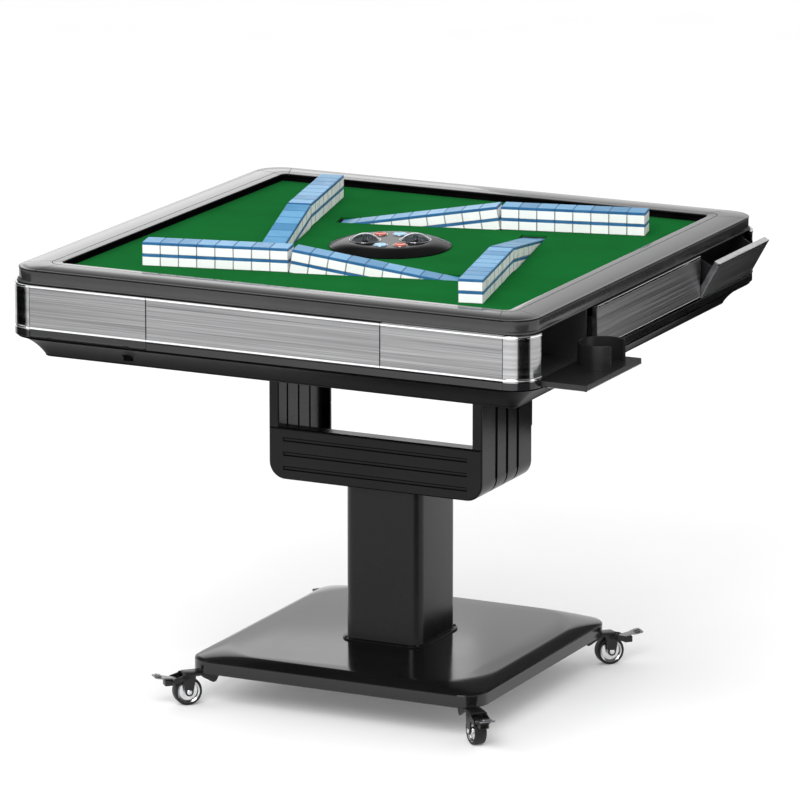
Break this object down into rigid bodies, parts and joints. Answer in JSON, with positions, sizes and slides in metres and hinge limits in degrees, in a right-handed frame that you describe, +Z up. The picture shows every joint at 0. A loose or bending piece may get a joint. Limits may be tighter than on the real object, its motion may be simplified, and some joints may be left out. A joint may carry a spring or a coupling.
{
  "type": "mahjong table with drawers",
  "caption": "Square powered mahjong table on a column with casters, with sliding drawers, fold-down cup trays, tilting bins, tile ramps and a lifting console.",
  "frame": {"origin": "on the floor, below the middle of the playing surface", "axes": "+X to the right along the front side, +Y from the front side to the back, +Z up"},
  "size_m": [1.0512, 0.97, 0.83],
  "materials": {
    "black_paint": "satin powder coat",
    "frame_steel": "plain painted steel",
    "pin_steel": "turned steel",
    "caster_black": "moulded",
    "wheel_rubber": "matt tread with a bright hub",
    "pedal_steel": "pressed",
    "hull_black": "satin",
    "bay_black": "matt",
    "band_black": "gloss",
    "corner_chrome": "polished",
    "skirt_grey": "satin",
    "rim_grey": "gloss",
    "board_wood": "plain board",
    "felt_green": "short felt",
    "drawer_black": "satin, brushed metal face",
    "flap_black": "satin, brushed metal face",
    "tile_white": "polished, blue backs",
    "ramp_grey": "matt",
    "console_black": "gloss",
    "dome_clear": "clear",
    "dice_white": "gloss",
    "button_red": "gloss",
    "button_blue": "gloss",
    "drum_grey": "matt"
  },
  "bodies": {
    "pedestal": {"base_cover": "black_paint", "base_underframe": "frame_steel", "column": "black_paint", "yoke_cross_box": "black_paint", "yoke_arms": "black_paint", "fold_pins": "pin_steel"},
    "table": {"hull_tub": "hull_black", "fold_bracket": "frame_steel", "compartment_frame": "bay_black", "lower_band": "band_black", "band_corners": "corner_chrome", "skirt_band": "skirt_grey", "rim_rails": "rim_grey", "rim_corners": "rim_grey", "play_board": "board_wood", "felt": "felt_green", "tiles_on_felt": "tile_white", "centre_post": "pin_steel", "drive_motor": "frame_steel"},
    "caster_front_left": {"caster_fork_front_left": "caster_black"},
    "wheel_front_left": {"caster_wheel_front_left": "wheel_rubber"},
    "brake_front_left": {"caster_brake_front_left": "pedal_steel"},
    "caster_front_right": {"caster_fork_front_right": "caster_black"},
    "wheel_front_right": {"caster_wheel_front_right": "wheel_rubber"},
    "brake_front_right": {"caster_brake_front_right": "pedal_steel"},
    "caster_back_right": {"caster_fork_back_right": "caster_black"},
    "wheel_back_right": {"caster_wheel_back_right": "wheel_rubber"},
    "brake_back_right": {"caster_brake_back_right": "pedal_steel"},
    "caster_back_left": {"caster_fork_back_left": "caster_black"},
    "wheel_back_left": {"caster_wheel_back_left": "wheel_rubber"},
    "brake_back_left": {"caster_brake_back_left": "pedal_steel"},
    "drawer_front": {"drawer_front": "drawer_black"},
    "cup_flap_front": {"cup_flap_front": "flap_black"},
    "bin_flap_front": {"bin_flap_front": "flap_black"},
    "ramp_front": {"ramp_plate_front": "ramp_grey", "ramp_tiles_front": "tile_white"},
    "drawer_right": {"drawer_right": "drawer_black"},
    "cup_flap_right": {"cup_flap_right": "flap_black"},
    "bin_flap_right": {"bin_flap_right": "flap_black"},
    "ramp_right": {"ramp_plate_right": "ramp_grey", "ramp_tiles_right": "tile_white"},
    "drawer_back": {"drawer_back": "drawer_black"},
    "cup_flap_back": {"cup_flap_back": "flap_black"},
    "bin_flap_back": {"bin_flap_back": "flap_black"},
    "ramp_back": {"ramp_plate_back": "ramp_grey", "ramp_tiles_back": "tile_white"},
    "drawer_left": {"drawer_left": "drawer_black"},
    "cup_flap_left": {"cup_flap_left": "flap_black"},
    "bin_flap_left": {"bin_flap_left": "flap_black"},
    "ramp_left": {"ramp_plate_left": "ramp_grey", "ramp_tiles_left": "tile_white"},
    "console": {"console_body": "console_black", "dice_dome": "dome_clear", "dice": "dice_white"},
    "button_dice_back": {"console_button_dice_back": "button_red"},
    "button_lift_back": {"console_button_lift_back": "button_blue"},
    "button_dice_front": {"console_button_dice_front": "button_red"},
    "button_lift_front": {"console_button_lift_front": "button_blue"},
    "drum": {"shuffle_drum": "drum_grey"},
    "switch": {"power_switch": "band_black"}
  },
  "joints": [
    {"name": "swivel_front_left", "type": "hinge", "parent": "pedestal", "child": "caster_front_left", "pos_m": [-0.249, -0.209, 0.059], "axis": [0, 0, 1], "continuous": true},
    {"name": "roll_front_left", "type": "hinge", "parent": "caster_front_left", "child": "wheel_front_left", "pos_m": [-0.27587, -0.23587, 0.025], "axis": [0.7071, -0.7071, 0], "continuous": true},
    {"name": "pedal_front_left", "type": "hinge", "parent": "caster_front_left", "child": "brake_front_left", "pos_m": [-0.29284, -0.25284, 0.046], "axis": [0.7071, -0.7071, 0], "range_deg": [0, 12]},
    {"name": "swivel_front_right", "type": "hinge", "parent": "pedestal", "child": "caster_front_right", "pos_m": [0.249, -0.209, 0.059], "axis": [0, 0, 1], "continuous": true},
    {"name": "roll_front_right", "type": "hinge", "parent": "caster_front_right", "child": "wheel_front_right", "pos_m": [0.27587, -0.23587, 0.025], "axis": [0.7071, 0.7071, 0], "continuous": true},
    {"name": "pedal_front_right", "type": "hinge", "parent": "caster_front_right", "child": "brake_front_right", "pos_m": [0.29284, -0.25284, 0.046], "axis": [0.7071, 0.7071, 0], "range_deg": [0, 12]},
    {"name": "swivel_back_right", "type": "hinge", "parent": "pedestal", "child": "caster_back_right", "pos_m": [0.249, 0.289, 0.059], "axis": [0, 0, 1], "continuous": true},
    {"name": "roll_back_right", "type": "hinge", "parent": "caster_back_right", "child": "wheel_back_right", "pos_m": [0.27587, 0.31587, 0.025], "axis": [-0.7071, 0.7071, 0], "continuous": true},
    {"name": "pedal_back_right", "type": "hinge", "parent": "caster_back_right", "child": "brake_back_right", "pos_m": [0.29284, 0.33284, 0.046], "axis": [-0.7071, 0.7071, 0], "range_deg": [0, 12]},
    {"name": "swivel_back_left", "type": "hinge", "parent": "pedestal", "child": "caster_back_left", "pos_m": [-0.249, 0.289, 0.059], "axis": [0, 0, 1], "continuous": true},
    {"name": "roll_back_left", "type": "hinge", "parent": "caster_back_left", "child": "wheel_back_left", "pos_m": [-0.27587, 0.31587, 0.025], "axis": [-0.7071, -0.7071, 0], "continuous": true},
    {"name": "pedal_back_left", "type": "hinge", "parent": "caster_back_left", "child": "brake_back_left", "pos_m": [-0.29284, 0.33284, 0.046], "axis": [-0.7071, -0.7071, 0], "range_deg": [0, 12]},
    {"name": "table_fold", "type": "hinge", "parent": "pedestal", "child": "table", "pos_m": [0, 0.151, 0.6295], "axis": [-1, 0, 0], "range_deg": [0, 90]},
    {"name": "drawer_slide_front", "type": "slide", "parent": "table", "child": "drawer_front", "axis": [0, -1, 0], "range_m": [0, 0.11]},
    {"name": "cup_hinge_front", "type": "hinge", "parent": "table", "child": "cup_flap_front", "pos_m": [-0.32725, -0.481, 0.6904], "axis": [1, 0, 0], "range_deg": [0, 90]},
    {"name": "bin_hinge_front", "type": "hinge", "parent": "table", "child": "bin_flap_front", "pos_m": [0.32725, -0.481, 0.7024], "axis": [1, 0, 0], "range_deg": [0, 29]},
    {"name": "ramp_lift_front", "type": "hinge", "parent": "table", "child": "ramp_front", "pos_m": [-0.0682, -0.24206, 0.783], "axis": [0.2334, -0.9724, 0], "range_deg": [0, 9]},
    {"name": "drawer_slide_right", "type": "slide", "parent": "table", "child": "drawer_right", "axis": [1, 0, 0], "range_m": [0, 0.11]},
    {"name": "cup_hinge_right", "type": "hinge", "parent": "table", "child": "cup_flap_right", "pos_m": [0.481, -0.32725, 0.6904], "axis": [0, 1, 0], "range_deg": [-90, 0]},
    {"name": "bin_hinge_right", "type": "hinge", "parent": "table", "child": "bin_flap_right", "pos_m": [0.481, 0.32725, 0.7024], "axis": [0, 1, 0], "range_deg": [-29, 0]},
    {"name": "ramp_lift_right", "type": "hinge", "parent": "table", "child": "ramp_right", "pos_m": [0.25406, -0.0962, 0.783], "axis": [0.9724, 0.2334, 0], "range_deg": [0, 9]},
    {"name": "drawer_slide_back", "type": "slide", "parent": "table", "child": "drawer_back", "axis": [0, 1, 0], "range_m": [0, 0.11]},
    {"name": "cup_hinge_back", "type": "hinge", "parent": "table", "child": "cup_flap_back", "pos_m": [0.32725, 0.481, 0.6904], "axis": [-1, 0, 0], "range_deg": [0, 90]},
    {"name": "bin_hinge_back", "type": "hinge", "parent": "table", "child": "bin_flap_back", "pos_m": [-0.32725, 0.481, 0.7024], "axis": [-1, 0, 0], "range_deg": [0, 29]},
    {"name": "ramp_lift_back", "type": "hinge", "parent": "table", "child": "ramp_back", "pos_m": [0.1082, 0.22606, 0.783], "axis": [-0.2334, 0.9724, 0], "range_deg": [0, 9]},
    {"name": "drawer_slide_left", "type": "slide", "parent": "table", "child": "drawer_left", "axis": [-1, 0, 0], "range_m": [0, 0.11]},
    {"name": "cup_hinge_left", "type": "hinge", "parent": "table", "child": "cup_flap_left", "pos_m": [-0.481, 0.32725, 0.6904], "axis": [0, -1, 0], "range_deg": [0, 90]},
    {"name": "bin_hinge_left", "type": "hinge", "parent": "table", "child": "bin_flap_left", "pos_m": [-0.481, -0.32725, 0.7024], "axis": [0, -1, 0], "range_deg": [0, 29]},
    {"name": "ramp_lift_left", "type": "hinge", "parent": "table", "child": "ramp_left", "pos_m": [-0.21406, 0.0802, 0.783], "axis": [-0.9724, -0.2334, 0], "range_deg": [0, 9]},
    {"name": "console_lift", "type": "slide", "parent": "table", "child": "console", "axis": [0, 0, 1], "range_m": [0, 0.06]},
    {"name": "press_dice_back", "type": "slide", "parent": "console", "child": "button_dice_back", "axis": [0, 0, 1], "range_m": [-0.0015, 0], "stiffness_N_per_m": 400, "springref_m": 0.001},
    {"name": "press_lift_back", "type": "slide", "parent": "console", "child": "button_lift_back", "axis": [0, 0, 1], "range_m": [-0.0015, 0], "stiffness_N_per_m": 400, "springref_m": 0.001},
    {"name": "press_dice_front", "type": "slide", "parent": "console", "child": "button_dice_front", "axis": [0, 0, 1], "range_m": [-0.0015, 0], "stiffness_N_per_m": 400, "springref_m": 0.001},
    {"name": "press_lift_front", "type": "slide", "parent": "console", "child": "button_lift_front", "axis": [0, 0, 1], "range_m": [-0.0015, 0], "stiffness_N_per_m": 400, "springref_m": 0.001},
    {"name": "drum_spin", "type": "hinge", "parent": "table", "child": "drum", "pos_m": [0, 0, 0.7], "axis": [0, 0, 1], "continuous": true},
    {"name": "switch_rocker", "type": "hinge", "parent": "table", "child": "switch", "pos_m": [-0.27, -0.4475, 0.66], "axis": [1, 0, 0], "range_deg": [0, 10]}
  ]
}
